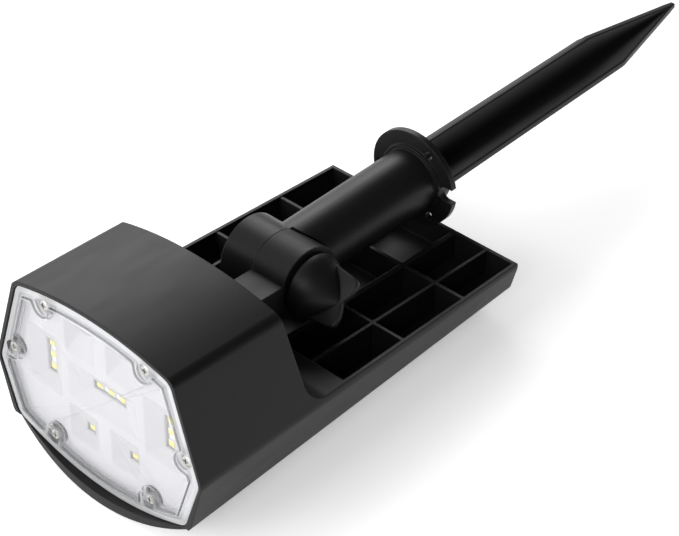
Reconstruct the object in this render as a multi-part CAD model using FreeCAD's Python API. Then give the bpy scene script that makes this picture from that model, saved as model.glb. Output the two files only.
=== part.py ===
import FreeCAD
import Part
import math
import os

# A folding garden spotlight: a lamp head with a solar panel housing, a knuckle hinge tightened by a
# wing knob, a tubular pole with a wall flange, and a cross-finned ground stake.
# Units are millimetres and degrees. The head is drawn with its lens plane at y = 0, facing -Y, and its
# tray rim level; set_down() then tips every shape onto the flat solar panel frame, which becomes z = 0.

os.makedirs("parts", exist_ok=True)
V = FreeCAD.Vector

# ---------------------------------------------------------------- overall head
HEAD_LENGTH = 177.8          # lens plane to the far end of the tray
HEAD_DEPTH = 51.7            # lens plane to the top rear edge of the lamp box
RIM_Z = 40.5                 # tray rim height above the panel plane at the lens
PANEL_SLOPE = 4.1            # angle between the tray rim and the solar panel
WALL = 2.2
SHELL_LIP = 0.4              # how far the shell's front edge stands past the lens plane
SKIN = 1.6                   # thin wall around the lens and the tray rim

# hull section: half widths and heights at the lens end and at the tray end
VERTEX_HALF = (55.8, 51.0)
VERTEX_Z = (37.8, 39.0)
CORNER_HALF = (48.8, 47.6)
CORNER_RISE = 13.8           # bottom corner height above the panel plane
TOP_HALF = 42.6
TOP_Z = 78.3
TOP_CREST_Z = 84.4
LENS_ROUND = 5.0             # rounding of the hull's long edges

# ---------------------------------------------------------------- tray cells
DECK_END = 76.2              # end of the solid deck behind the lamp box
RIB_Y = (109.9, 145.7)
RIB_X = ((18.2, 2.4), (35.3, 1.5))   # centre and thickness of each long rib
RIB_THICK = 1.5
RIB_DROP = 0.3
FLOOR_TOP = 17.0             # tray floor above the panel plane
FLOOR_THICK = 2.0
WALL_SWEEP = 10.0            # radius between the lamp box and the deck
WALL_LEAN = 4.0              # how far the lamp box's rear wall leans back from its top to the sweep

# ---------------------------------------------------------------- lens and front opening
LENS_TOP = (41.0, 77.0, 82.6)        # half width, corner height, crest height
LENS_VERTEX = (54.1, 37.6)
LENS_BOTTOM = (46.0, 14.0, 4.3)
LENS_CLEAR = 0.2
LENS_THICK = 2.0
LENS_SKIRT = 6.0
LENS_PANE_RAISE = 1.2
LENS_PANE_INSET = 4.2
SCALLOP_R = 4.4
GASKET_THICK = 0.9
LEDGE_Y = 7.0                # front of the shell ledge that carries the lens
LEDGE_THICK = 2.4
LEDGE_WIDTH = 8.0
SCREW_SPOTS = ((27.0, 74.4), (46.7, 44.8), (26.2, 14.0))
SCREW_HEAD_R = 2.4
SCREW_HEAD_H = 1.5
SCREW_SINK = 2.2             # depth of the screw's seat below the lens flange
SCREW_CUP_R = 3.1
SCREW_R = 1.3
SCREW_LENGTH = 15.0
LENS_BOSS_R = 4.1
POST_R = 3.2
CHIN_BULGE = 3.3
CHIN_PLAN_R = 270.0

# ---------------------------------------------------------------- lamp insides
LED_PLANE = 7.7              # face of the lamp chips
BOARD_THICK = 1.6
CHIP = (3.5, 0.8, 2.8)
REFLECTOR_FRONT = 3.2
REFLECTOR_SKIN = 1.2
FUNNEL_FLOOR_Y = 6.9         # depth of the funnels' floors
FUNNEL_WALL = 1.0
CENTRE_FUNNEL = (36.8, 17.2, 0.0, 44.7)      # mouth width and height, centre x and z
COLUMN_FUNNEL = (17.6, 27.0, 31.4, 46.4)
LOW_FUNNEL = (15.8, 16.0, 11.2, 24.6)
HIGH_FUNNEL = (15.8, 14.4, 11.2, 64.4)
COLUMN_X = 32.0
COLUMN_PITCH = 5.5
ROW_PITCH = 6.3
SINGLE_X = 11.8
SINGLE_RISE = 23.4
CHIP_MID_Z = 45.2
CELL_R = 9.2                 # 18650 lithium cell
CELL_LENGTH = 65.0
CELL_Y = 37.5
CELL_Z = 58.0

# ---------------------------------------------------------------- solar panel (set-down frame)
FRAME_HALF = 36.0
FRAME_Y = (26.0, 172.0)
FRAME_WALL = 2.6
SEAT_Z = 3.4
SEAT_THICK = 2.0
PANEL_GAP = 0.3
PANEL_FACE_Z = 1.0
PANEL_LAYERS = (0.7, 0.3, 1.2)       # clear resin, cells, backing
CELL_STRIPS = 9
STRIP_GAP = 0.8

# ---------------------------------------------------------------- hinge, pole and stake
HINGE_Y = 94.2
HINGE_Z = RIM_Z + 16.5        # the folded pole and its knob stay clear of the tray rim
BARREL_R = 15.5
BARREL_HALF = 16.2
KNUCKLE_SPLIT = 0.05         # half of the gap between the two knuckles
SPLIT_X = -0.6
SEAM = 0.6                   # gap between the head knuckle and the end of the tube
NECK_HALF_RISE = 5.7
FOLD_ANGLE = 3.2             # pole against the tray rim when folded
TUBE_R = 13.5
TUBE_BORE = 11.0
TUBE_LENGTH = 79.2           # hinge axis to the flange's far face
FLANGE_R = 21.3
FLANGE_THICK = 2.6
FLANGE_HOLE_R = 1.9
ROOT_RING = (15.2, 1.2)       # radius and length of the raised ring where the tube meets the flange
FLANGE_HOLE_PCR = 17.2
NOTCH_HALF = 3.4
NOTCH_DEPTH_R = 14.6
BOLT_R = 2.5
BOLT_FIT = 0.05
NUT_FLATS = 8.0
NUT_THICK = 4.0
NUT_X = -11.0
WASHER_R = 8.0
KNOB_X = 17.8
KNOB_PROFILE = ((0.0, 13.6), (1.2, 13.6), (4.0, 12.4), (8.0, 9.8), (11.6, 6.6), (14.8, 2.9), (16.2, 0.0))
WING_PROFILE = ((0.2, 11.2), (9.0, 10.4), (17.6, 9.6), (18.4, 8.4), (18.5, 5.6), (16.2, 0.0))
WING_THICK = 3.0
WING_ANGLE = 45.0
PLUG_R = 10.9
PLUG_LENGTH = 30.0
COLLAR_R = 13.8
COLLAR_LENGTH = 5.4
FIN_HALF = 13.7
FIN_HALF_END = 12.9
FIN_THICK = 3.0
FLAT_TAPER = 198.0           # distance from the hinge where the side fins' point begins
UPRIGHT_TAPER = 188.0
STAKE_TIP = 249.7
TIP_HALF = 1.0

# ---------------------------------------------------------------- button and control board (set-down frame)
BUTTON_Y = 17.0
BUTTON_R = 5.0
BUTTON_GAP = 0.3
BUTTON_SINK = 0.5
BUTTON_TRAVEL = 0.8
BOARD_Z = 12.4
BOARD_HALF = 22.0
BOARD_Y = (13.0, 45.0)
SPLIT_Z = 13.4               # joint plane between the back shell and the panel housing
CASE_GAP = 0.1
CASE_X = 29.0
CASE_Y = (86.0, 160.0)
CASE_LAND = 1.6              # extra thickness under each case screw
WINDOW = (4.6, 4.0)          # width and height of the reflector window round one lamp chip
STANDS = ((0.0, 24.5), (0.0, 65.0), (-35.0, 24.0), (35.0, 24.0))
STAKE_GAP = 0.3
CORD_R = 0.6
CORD_BEND = 2.0
ORIGIN_Y = 172.2             # middle of the folded length, which becomes y = 0

SLOPE = math.tan(math.radians(PANEL_SLOPE))
X_AXIS = V(1, 0, 0)


# ================================================================ helpers
def set_down(shape):
    """Tip a shape from the lens-square frame onto the solar panel frame."""
    out = shape.copy()
    out.rotate(V(0, 0, 0), X_AXIS, -PANEL_SLOPE)
    return out


def lift_up(shape):
    """The opposite of set_down: from the panel frame to the lens-square frame."""
    out = shape.copy()
    out.rotate(V(0, 0, 0), X_AXIS, PANEL_SLOPE)
    return out


def save(name, shape):
    """Write one node with the middle of the folded length at y = 0."""
    out = shape.copy()
    out.translate(V(0, -ORIGIN_Y, 0))
    out.exportStep("parts/" + name + ".step")
    print(name, len(out.Solids), round(out.Volume, 1), out.isValid())


def save_flat(name, shape):
    """Tip a shape drawn in the lens-square frame and write it."""
    save(name, set_down(shape))


def line(a, b):
    return Part.LineSegment(a, b).toShape()


def arc(a, m, b):
    return Part.Arc(a, m, b).toShape()


def box(x0, x1, y0, y1, z0, z1):
    return Part.makeBox(x1 - x0, y1 - y0, z1 - z0, V(x0, y0, z0))


def rod_x(x0, x1, y, z, r):
    return Part.makeCylinder(r, x1 - x0, V(x0, y, z), V(1, 0, 0))


def rod_y(x, z, y0, y1, r):
    return Part.makeCylinder(r, y1 - y0, V(x, y0, z), V(0, 1, 0))


def rod_z(x, y, z0, z1, r):
    return Part.makeCylinder(r, z1 - z0, V(x, y, z0), V(0, 0, 1))


def fuse(shapes):
    first = shapes[0]
    return first.multiFuse(shapes[1:]).removeSplitter() if len(shapes) > 1 else first


def cut(shape, tools):
    return shape.cut(Part.makeCompound(tools)) if tools else shape


def mirror_x(shape):
    return shape.mirror(V(0, 0, 0), V(1, 0, 0))


def both(shape):
    return [shape, mirror_x(shape)]


def prism_x(points, x0, x1):
    """Extrude a polygon given as (y, z) pairs along X."""
    pts = [V(x0, y, z) for y, z in points]
    return Part.Face(Part.makePolygon(pts + [pts[0]])).extrude(V(x1 - x0, 0, 0))


def lerp(pair, f):
    return pair[0] + (pair[1] - pair[0]) * f


def hull_wire(y, inset, bottom_lift=0.0):
    """Six-sided hull section with a crowned top and a shallow round bottom."""
    f = y / HEAD_LENGTH
    vh = lerp(VERTEX_HALF, f) - inset * 1.02
    vz = lerp(VERTEX_Z, f)
    ch = lerp(CORNER_HALF, f) - inset * 0.9
    cz = CORNER_RISE + SLOPE * y + inset * 0.6
    th = TOP_HALF - inset * 0.85
    tz = TOP_Z - inset
    low = SLOPE * y + inset + bottom_lift
    p = [V(-ch, y, cz), V(-vh, y, vz), V(-th, y, tz), V(th, y, tz), V(vh, y, vz), V(ch, y, cz)]
    edges = [line(p[0], p[1]), line(p[1], p[2]), arc(p[2], V(0, y, TOP_CREST_Z - inset), p[3]),
             line(p[3], p[4]), line(p[4], p[5]), arc(p[5], V(0, y, low), p[0])]
    return Part.Wire(edges)


def hull(inset, y0, y1, rounding=0.0):
    """Straight hull between two sections, long edges rounded on request."""
    solid = Part.makeLoft([hull_wire(y0, inset), hull_wire(y1, inset)], True, True)
    if rounding > 0:
        long_edges = [e for e in solid.Edges
                      if abs(e.Vertexes[0].Point.y - e.Vertexes[-1].Point.y) > 0.9 * (y1 - y0)]
        solid = solid.makeFillet(rounding, long_edges)
    return solid


def lens_face(y):
    """Lens outline: straight sides, crowned top, round bottom, rounded corners."""
    th, tz, tc = LENS_TOP
    vh, vz = LENS_VERTEX
    bh, bz, bc = LENS_BOTTOM
    p = [V(-bh, y, bz), V(-vh, y, vz), V(-th, y, tz), V(th, y, tz), V(vh, y, vz), V(bh, y, bz)]
    edges = [line(p[0], p[1]), line(p[1], p[2]), arc(p[2], V(0, y, tc), p[3]),
             line(p[3], p[4]), line(p[4], p[5]), arc(p[5], V(0, y, bc), p[0])]
    block = Part.Face(Part.Wire(edges)).extrude(V(0, 1, 0))
    long_edges = [e for e in block.Edges
                  if abs(e.Vertexes[0].Point.y - e.Vertexes[-1].Point.y) > 0.9]
    block = block.makeFillet(LENS_ROUND, long_edges)
    ends = [f for f in block.Faces if abs(f.CenterOfMass.y - y) < 1e-3]
    return ends[0]


LENS_OUTLINE = lens_face(0.0)


def lens_prism(inset, y0, y1):
    """The lens outline, offset inward by inset, between two depths."""
    face = LENS_OUTLINE
    if abs(inset) > 1e-6:
        face = Part.Face(face.OuterWire.makeOffset2D(-inset))
    face = face.copy()
    face.translate(V(0, y0, 0))
    return face.extrude(V(0, y1 - y0, 0))


def at_screws(make):
    """Place a feature made for (x, z) at the six lens screws."""
    out = []
    for x, z in SCREW_SPOTS:
        out.append(make(x, z))
        out.append(make(-x, z))
    return out


def polar(r, deg):
    return r * math.cos(math.radians(deg)), r * math.sin(math.radians(deg))


def lead(points, r, bend):
    """A wire along straight runs joined by tangent arcs."""
    pts = [V(*p) for p in points]
    edges = []
    start = pts[0]
    for a, b, c in zip(pts, pts[1:], pts[2:]):
        u = (a - b).normalize()
        w = (c - b).normalize()
        half = u.getAngle(w) / 2.0
        back = bend / math.tan(half)
        p = b + u * back
        q = b + w * back
        mid_dir = (u + w).normalize()
        centre = b + mid_dir * (bend / math.sin(half))
        mid = centre - mid_dir * bend
        if (p - start).Length > 1e-4:
            edges.append(line(start, p))
        edges.append(arc(p, mid, q))
        start = q
    edges.append(line(start, pts[-1]))
    path = Part.Wire(edges)
    ring = Part.Wire(Part.makeCircle(r, pts[0], (pts[1] - pts[0])))
    return path.makePipeShell([ring], True, True)


# ================================================================ back shell
def behind_box(dy, dz, floor_z):
    """Space above the tray and behind the lamp box, grown inward by dy and dz."""
    deck = RIM_Z - dz
    r = WALL_SWEEP + dz
    y_arc = HEAD_DEPTH + WALL_LEAN - dy
    rise = (120.0 - deck - r) / (TOP_CREST_Z - deck - r)
    a = V(-90, y_arc - WALL_LEAN * rise, 120)
    b = V(-90, y_arc, deck + r)
    m = V(-90, y_arc + r * (1 - math.cos(math.pi / 4)), deck + r * (1 - math.sin(math.pi / 4)))
    c = V(-90, y_arc + r, deck)
    pts = [c]
    if floor_z is not None:
        pts.append(V(-90, DECK_END - dy, deck))
        pts.append(V(-90, DECK_END - dy, floor_z + SLOPE * DECK_END))
        pts.append(V(-90, 260, floor_z + SLOPE * 260))
    else:
        pts.append(V(-90, 260, deck))
    pts.append(V(-90, 260, 120))
    edges = [line(a, b), arc(b, m, c)]
    for p, q in zip(pts, pts[1:]):
        edges.append(line(p, q))
    edges.append(line(pts[-1], a))
    return Part.Face(Part.Wire(edges)).extrude(V(180, 0, 0))


def below_split(z):
    """Everything under a plane parallel to the solar panel."""
    return lift_up(box(-90, 90, -60, 300, -60, z))


outer = hull(0.0, -SHELL_LIP, HEAD_LENGTH, LENS_ROUND).cut(behind_box(0.0, 0.0, None))
cavity = hull(WALL, LEDGE_Y + LEDGE_THICK, HEAD_LENGTH - WALL)
cavity = cavity.cut(behind_box(WALL, WALL, FLOOR_TOP - FLOOR_THICK))

cell_bounds = hull(SKIN, 1.0, HEAD_LENGTH - SKIN)
cells = []
y_lines = [DECK_END] + list(RIB_Y) + [HEAD_LENGTH + 5]
x_lines = [-RIB_X[1][0], -RIB_X[0][0], RIB_X[0][0], RIB_X[1][0]]
x_thick = [RIB_X[1][1], RIB_X[0][1], RIB_X[0][1], RIB_X[1][1]]
tray_space = prism_x([(DECK_END, FLOOR_TOP + SLOPE * DECK_END), (DECK_END, 60), (260, 60),
                      (260, FLOOR_TOP + SLOPE * 260)], -80, 80)
tray_space = tray_space.common(cell_bounds)
rib_top = RIM_Z - RIB_DROP
ribs = [box(x - t / 2, x + t / 2, DECK_END - 1, HEAD_LENGTH - 0.8, 15, rib_top)
        for x, t in zip(x_lines, x_thick)]
ribs += [box(-52, 52, y - RIB_THICK / 2, y + RIB_THICK / 2, 15, rib_top) for y in RIB_Y]
tray_space = cut(tray_space, ribs)

opening = lens_prism(-LENS_CLEAR, -5.0, LEDGE_Y)
throat = lens_prism(LEDGE_WIDTH, LEDGE_Y - 1, LEDGE_Y + LEDGE_THICK + 1)

shell = cut(outer, [cavity, tray_space, opening, throat, below_split(SPLIT_Z)])
post_back = LEDGE_Y + LEDGE_THICK + 8.0
screw_posts = at_screws(lambda x, z: rod_y(x, z, LEDGE_Y, post_back, POST_R))
shell_posts = screw_posts[:4]
housing_posts = screw_posts[4:]
post_room = [rod_y(sx * SCREW_SPOTS[2][0], SCREW_SPOTS[2][1], LEDGE_Y - 1, post_back + 1, POST_R + 0.15)
             for sx in (1, -1)]
post_bounds = hull(0.8, 0.0, HEAD_LENGTH - WALL)

# neck arm and the head's knuckle, on the +X side of the pole
neck_x0 = SPLIT_X + KNUCKLE_SPLIT
neck = box(neck_x0, BARREL_HALF, HEAD_DEPTH + 2.0, HINGE_Y, HINGE_Z - NECK_HALF_RISE, HINGE_Z + NECK_HALF_RISE)
knuckle = rod_x(neck_x0, BARREL_HALF, HINGE_Y, HINGE_Z, BARREL_R)
web = box(6.0, 10.0, HEAD_DEPTH + 3.0, HINGE_Y - 12.0, RIM_Z - 1.0, HINGE_Z)

screw_holes = at_screws(lambda x, z: rod_y(x, z, 0, SCREW_LENGTH + 0.6, SCREW_R + 0.02))
CASE_HEAD_Z = SEAT_Z + 1.6
case_spots = [(sx * CASE_X, cy) for cy in CASE_Y for sx in (1, -1)]
case_land_z = SEAT_Z + SEAT_THICK + CASE_LAND
case_posts = [lift_up(rod_z(cx, cy, case_land_z + CASE_GAP, FLOOR_TOP - 1.0, POST_R)) for cx, cy in case_spots]
case_holes = [lift_up(rod_z(cx, cy, 0, 14.5, SCREW_R + 0.02)) for cx, cy in case_spots]

shell = fuse([shell, neck, knuckle, web] + [q.common(post_bounds) for q in shell_posts] + case_posts)
bolt_hole = rod_x(-40, 60, HINGE_Y, HINGE_Z, BOLT_R + BOLT_FIT)
washer_seat = rod_x(neck_x0 - 1, neck_x0 + 1.0, HINGE_Y, HINGE_Z, 9.3)
shell = cut(shell, screw_holes + case_holes + post_room + [bolt_hole, washer_seat])
save_flat("back_shell", shell)

# ================================================================ panel housing
segment = hull(0.0, -8.0, HEAD_LENGTH, LENS_ROUND).common(below_split(SPLIT_Z - CASE_GAP))
chin_front = rod_z(0, CHIN_PLAN_R - CHIN_BULGE, -80, 120, CHIN_PLAN_R)
segment = segment.common(chin_front)
frame_block = lift_up(box(-FRAME_HALF, FRAME_HALF, FRAME_Y[0], FRAME_Y[1], 0.0, SEAT_Z + SEAT_THICK))
housing = fuse([segment, frame_block])

frame_room = lift_up(box(-FRAME_HALF, FRAME_HALF, FRAME_Y[0], FRAME_Y[1], -20, SEAT_Z + SEAT_THICK))
hollow = hull(WALL, LEDGE_Y + LEDGE_THICK, HEAD_LENGTH - WALL).common(below_split(40.0)).cut(frame_room)
inside_frame = lift_up(box(-FRAME_HALF + FRAME_WALL, FRAME_HALF - FRAME_WALL, FRAME_Y[0] + FRAME_WALL,
                           FRAME_Y[1] - FRAME_WALL, SEAT_Z + SEAT_THICK, 40.0))
case_lands = [lift_up(rod_z(cx, cy, SEAT_Z, case_land_z, POST_R + 1.2)) for cx, cy in case_spots]
inside_frame = cut(inside_frame, case_lands)
pocket = lift_up(box(-FRAME_HALF + FRAME_WALL, FRAME_HALF - FRAME_WALL, FRAME_Y[0] + FRAME_WALL,
                     FRAME_Y[1] - FRAME_WALL, -20.0, SEAT_Z))
button_hole = lift_up(rod_z(0, BUTTON_Y, -20, 20, BUTTON_R + BUTTON_GAP))
button_dish = lift_up(rod_z(0, BUTTON_Y, -20, BUTTON_SINK, BUTTON_R + 2.0))
lead_hole = lift_up(rod_z(8.0, 40.0, 0, 20, 3.0))
case_heads = [lift_up(rod_z(cx, cy, -1, CASE_HEAD_Z, SCREW_HEAD_R + 0.1)) for cx, cy in case_spots]
housing = cut(housing, [hollow, inside_frame, pocket, opening, throat, button_hole, button_dish, lead_hole])

board_spots = [(sx * (BOARD_HALF - 4.0), y) for y in (BOARD_Y[0] + 4.0, BOARD_Y[1] - 4.0) for sx in (1, -1)]
board_posts = [lift_up(rod_z(x, y, 1.0 if y < FRAME_Y[0] else SEAT_Z + 0.5, BOARD_Z, 2.6)) for x, y in board_spots]
housing_body = hull(0.8, 0.0, HEAD_LENGTH - WALL)
board_posts = [q.common(housing_body) for q in board_posts]
board_holes = [lift_up(rod_z(x, y, BOARD_Z - 5.0, BOARD_Z + 5, 1.02)) for x, y in board_spots]
housing = fuse([housing] + [q.common(housing_body) for q in housing_posts] + board_posts)
housing = cut(housing, screw_holes + board_holes + case_heads + case_holes)
save_flat("panel_housing", housing)

# ================================================================ solar panel
px = FRAME_HALF - FRAME_WALL - PANEL_GAP
py0 = FRAME_Y[0] + FRAME_WALL + PANEL_GAP
py1 = FRAME_Y[1] - FRAME_WALL - PANEL_GAP
z0 = PANEL_FACE_Z
z1 = z0 + PANEL_LAYERS[0]
z2 = z1 + PANEL_LAYERS[1]
z3 = z2 + PANEL_LAYERS[2]
save("panel_resin", box(-px, px, py0, py1, z0, z1))
strip = (py1 - py0 - 6.0 - STRIP_GAP * (CELL_STRIPS - 1)) / CELL_STRIPS
strips = []
for i in range(CELL_STRIPS):
    y = py0 + 3.0 + i * (strip + STRIP_GAP)
    strips.append(box(-px + 3.0, px - 3.0, y, y + strip, z1, z2 - 0.02))
save("solar_cells", Part.makeCompound(strips))
save("panel_backing", box(-px, px, py0, py1, z2, z3))
ring = box(-px, px, py0, py1, z3, SEAT_Z).cut(box(-px + 3, px - 3, py0 + 3, py1 - 3, z3 - 1, SEAT_Z + 1))
save("panel_adhesive", ring)

# ================================================================ lens and gasket
lens = fuse([lens_prism(0.0, 0.0, LENS_THICK),
             lens_prism(0.0, LENS_THICK, LENS_SKIRT).cut(lens_prism(1.6, LENS_THICK - 1, LENS_SKIRT + 1)),
             lens_prism(LENS_PANE_INSET, -LENS_PANE_RAISE, LENS_THICK)])
scallops = at_screws(lambda x, z: rod_y(x, z, -5.0, 0.0, SCALLOP_R))
bosses = at_screws(lambda x, z: rod_y(x, z, LENS_THICK, LEDGE_Y - 0.02, LENS_BOSS_R))
lens_bounds = lens_prism(0.0, -5.0, LEDGE_Y)
pane_back = lens_prism(LENS_PANE_INSET + 1.2, LENS_THICK - LENS_PANE_RAISE, LENS_THICK + 0.01)
pane_back = cut(pane_back, at_screws(lambda x, z: rod_y(x, z, -5.0, 5.0, SCALLOP_R + 1.2)))
lens = fuse([cut(lens, scallops + [pane_back])] + [b.common(lens_bounds) for b in bosses])
lens = cut(lens, at_screws(lambda x, z: rod_y(x, z, -5, 20, SCREW_R + 0.15)))
lens = cut(lens, at_screws(lambda x, z: rod_y(x, z, -5, SCREW_SINK, SCREW_CUP_R)))
save_flat("lens_cover", lens)

gasket = lens_prism(0.0, LENS_SKIRT, LENS_SKIRT + GASKET_THICK).cut(lens_prism(1.6, LENS_SKIRT - 1, LEDGE_Y + 1))
gasket = cut(gasket, at_screws(lambda x, z: rod_y(x, z, 0, 20, LENS_BOSS_R + 0.1)))
save_flat("lens_gasket", gasket)


def pan_screw(x, z):
    """Cross-recess pan head screw driven along +Y, seated in its cup in the lens."""
    top = SCREW_SINK - SCREW_HEAD_H
    head = rod_y(x, z, top, SCREW_SINK, SCREW_HEAD_R)
    rim = [e for e in head.Edges if abs(e.BoundBox.YMin - top) < 1e-6 and e.BoundBox.YLength < 1e-6]
    head = head.makeFillet(0.7, rim[:1])
    cross = [box(x - 1.3, x + 1.3, -5, top + 0.8, z - 0.3, z + 0.3),
             box(x - 0.3, x + 0.3, -5, top + 0.8, z - 1.3, z + 1.3)]
    return fuse([cut(head, cross), rod_y(x, z, SCREW_SINK, SCREW_LENGTH, SCREW_R)])


save_flat("lens_screws", Part.makeCompound(at_screws(pan_screw)))

# ================================================================ reflector and lamp board
CHIP_SPOTS = []
for i in (-1, 0, 1):
    CHIP_SPOTS.append((-COLUMN_X, CHIP_MID_Z + i * COLUMN_PITCH))
    CHIP_SPOTS.append((i * ROW_PITCH, CHIP_MID_Z))
    CHIP_SPOTS.append((COLUMN_X, CHIP_MID_Z + i * COLUMN_PITCH))
for sx in (-1, 1):
    for sz in (-1, 1):
        CHIP_SPOTS.append((sx * SINGLE_X, CHIP_MID_Z + sz * SINGLE_RISE))

board_front = LED_PLANE + CHIP[1]
chips = [box(x - CHIP[0] / 2, x + CHIP[0] / 2, LED_PLANE, board_front, z - CHIP[2] / 2, z + CHIP[2] / 2)
         for x, z in CHIP_SPOTS]
glow = [box(x - 1.35, x + 1.35, LED_PLANE - 0.12, LED_PLANE, z - 1.05, z + 1.05) for x, z in CHIP_SPOTS]
save_flat("led_chips", Part.makeCompound(chips))
save_flat("led_phosphor", Part.makeCompound(glow))

post_clear = at_screws(lambda x, z: rod_y(x, z, 0, 30, POST_R + 0.4))
board = lens_prism(LEDGE_WIDTH + 0.5, board_front, board_front + BOARD_THICK)
board = cut(board, post_clear + [rod_y(x, z, 0, 20, 1.1) for x, z in STANDS])
save_flat("led_board", board)


def funnel(mouth, floor, y0, y1):
    """Four-sided funnel; mouth and floor are (width, height, centre x, centre z)."""
    rims = []
    for (w, h, cx, cz), y in ((mouth, y0), (floor, y1)):
        pts = [V(cx + sx * w / 2, y, cz + sz * h / 2) for sx, sz in ((-1, -1), (1, -1), (1, 1), (-1, 1))]
        rims.append(Part.makePolygon(pts + [pts[0]]))
    return Part.makeLoft(rims, True, True)


def grown(rect, by):
    return rect[0] + 2 * by, rect[1] + 2 * by, rect[2], rect[3]


# one white tray: a face with a funnel over each lamp group and a window in each funnel's floor
lens_clear_posts = at_screws(lambda x, z: rod_y(x, z, 0, 30, LENS_BOSS_R + 0.4))
reflector_edge = SKIN + LENS_CLEAR + 0.4
plate = lens_prism(reflector_edge, REFLECTOR_FRONT, REFLECTOR_FRONT + REFLECTOR_SKIN)
skirt = lens_prism(reflector_edge, REFLECTOR_FRONT, LEDGE_Y - 0.02)
skirt = skirt.cut(lens_prism(reflector_edge + REFLECTOR_SKIN, 0, LEDGE_Y + 1))
win_w, win_h = WINDOW
groups = [(CENTRE_FUNNEL, (2 * ROW_PITCH + win_w, win_h, 0.0, CHIP_MID_Z))]
for sx in (-1, 1):
    for mouth, w, h, cx, cz in ((COLUMN_FUNNEL, win_w, 2 * COLUMN_PITCH + win_h, COLUMN_X, CHIP_MID_Z),
                                (LOW_FUNNEL, win_w, win_h, SINGLE_X, CHIP_MID_Z - SINGLE_RISE),
                                (HIGH_FUNNEL, win_w, win_h, SINGLE_X, CHIP_MID_Z + SINGLE_RISE)):
        groups.append(((mouth[0], mouth[1], sx * mouth[2], mouth[3]), (w, h, sx * cx, cz)))
back_y = board_front - 0.05
walls = []
hollows = []
for mouth, floor in groups:
    walls.append(funnel(grown(mouth, FUNNEL_WALL), grown(floor, FUNNEL_WALL + 0.5), REFLECTOR_FRONT, back_y))
    hollows.append(funnel(mouth, grown(floor, 0.5), REFLECTOR_FRONT, FUNNEL_FLOOR_Y))
    w, h, cx, cz = floor
    hollows.append(box(cx - w / 2, cx + w / 2, REFLECTOR_FRONT + 1, 20, cz - h / 2, cz + h / 2))
stand_feet = [rod_y(x, z, REFLECTOR_FRONT + 0.5, back_y, 2.2) for x, z in STANDS]
pegs = [rod_y(x, z, REFLECTOR_FRONT + 0.5, board_front + BOARD_THICK + 2.4, 1.0) for x, z in STANDS]
bounds_r = lens_prism(reflector_edge, REFLECTOR_FRONT - 1, 20)
reflector = cut(fuse([plate, skirt] + [w.common(bounds_r) for w in walls] + stand_feet), lens_clear_posts + hollows)
reflector = fuse([reflector] + pegs)
save_flat("reflector", reflector)
clips = [rod_y(x, z, board_front + BOARD_THICK + 0.05, board_front + BOARD_THICK + 1.25, 2.4).cut(
    rod_y(x, z, 0, 30, 1.03)) for x, z in STANDS]
save_flat("board_clips", Part.makeCompound(clips))

# ================================================================ battery
half = CELL_LENGTH / 2
cell = fuse([rod_x(-half, half, CELL_Y, CELL_Z, CELL_R), rod_x(half, half + 1.2, CELL_Y, CELL_Z, 2.7)])
save_flat("battery_cell", cell)
plate_x = half + 2.6
trough = rod_x(-plate_x - 1.6, plate_x + 1.6, CELL_Y, CELL_Z, CELL_R + 2.0)
trough = trough.cut(rod_x(-plate_x, plate_x, CELL_Y, CELL_Z, CELL_R + 0.2))
trough = trough.cut(box(-80, 80, CELL_Y - 20, CELL_Y + 20, CELL_Z + 3.0, CELL_Z + 30))
trough = trough.cut(box(-80, 80, CELL_Y - 30, CELL_Y - 3.0, CELL_Z - 2.0, CELL_Z + 30))
saddle = [box(sx * 22.0 - 3, sx * 22.0 + 3, CELL_Y + 4, HEAD_DEPTH - WALL + 0.5, CELL_Z - 9.0, CELL_Z - 1.0)
          for sx in (1, -1)]
wall_side = behind_box(WALL + 0.02, WALL + 0.02, None)
saddle = [q.cut(rod_x(-80, 80, CELL_Y, CELL_Z, CELL_R + 1.0)).cut(wall_side) for q in saddle]
save_flat("battery_holder", fuse([trough] + saddle))
contacts = [box(plate_x - 1.2, plate_x - 0.3, CELL_Y - 4, CELL_Y + 4, CELL_Z - 6, CELL_Z + 2.5),
            box(-plate_x + 0.3, -plate_x + 1.2, CELL_Y - 4, CELL_Y + 4, CELL_Z - 6, CELL_Z + 2.5)]
coil = rod_x(-plate_x + 1.2, -half - 0.02, CELL_Y, CELL_Z - 1.5, 2.6)
contacts[1] = fuse([contacts[1], coil])
save_flat("battery_contacts", Part.makeCompound(contacts))

# ================================================================ control board, switch and button
control = box(-BOARD_HALF, BOARD_HALF, BOARD_Y[0], BOARD_Y[1], BOARD_Z, BOARD_Z + BOARD_THICK)
control = cut(control, [rod_z(x, y, 0, 40, 1.2) for x, y in board_spots])
save("control_board", control)
parts_on = [box(-14, -8, 26, 32, BOARD_Z + BOARD_THICK, BOARD_Z + BOARD_THICK + 1.6),
            box(2, 10, 24, 30, BOARD_Z + BOARD_THICK, BOARD_Z + BOARD_THICK + 2.2),
            rod_z(-3.0, 34.0, BOARD_Z + BOARD_THICK, BOARD_Z + BOARD_THICK + 6.0, 2.5)]
save("board_parts", Part.makeCompound(parts_on))
save("board_screws", Part.makeCompound([
    fuse([rod_z(x, y, BOARD_Z + BOARD_THICK, BOARD_Z + BOARD_THICK + 1.2, 2.0),
          rod_z(x, y, BOARD_Z - 4.0, BOARD_Z + BOARD_THICK, 1.0)]) for x, y in board_spots]))
switch_low = BOARD_Z - 3.4
save("tact_switch", box(-3, 3, BUTTON_Y - 3, BUTTON_Y + 3, switch_low, BOARD_Z).cut(
    rod_z(0, BUTTON_Y, switch_low - 1.0, switch_low + 2.2, 1.8)))
plunger_low = switch_low - 1.2
save("switch_plunger", rod_z(0, BUTTON_Y, plunger_low, switch_low + 1.0, 1.7))
flange_low = WALL + 0.45
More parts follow.
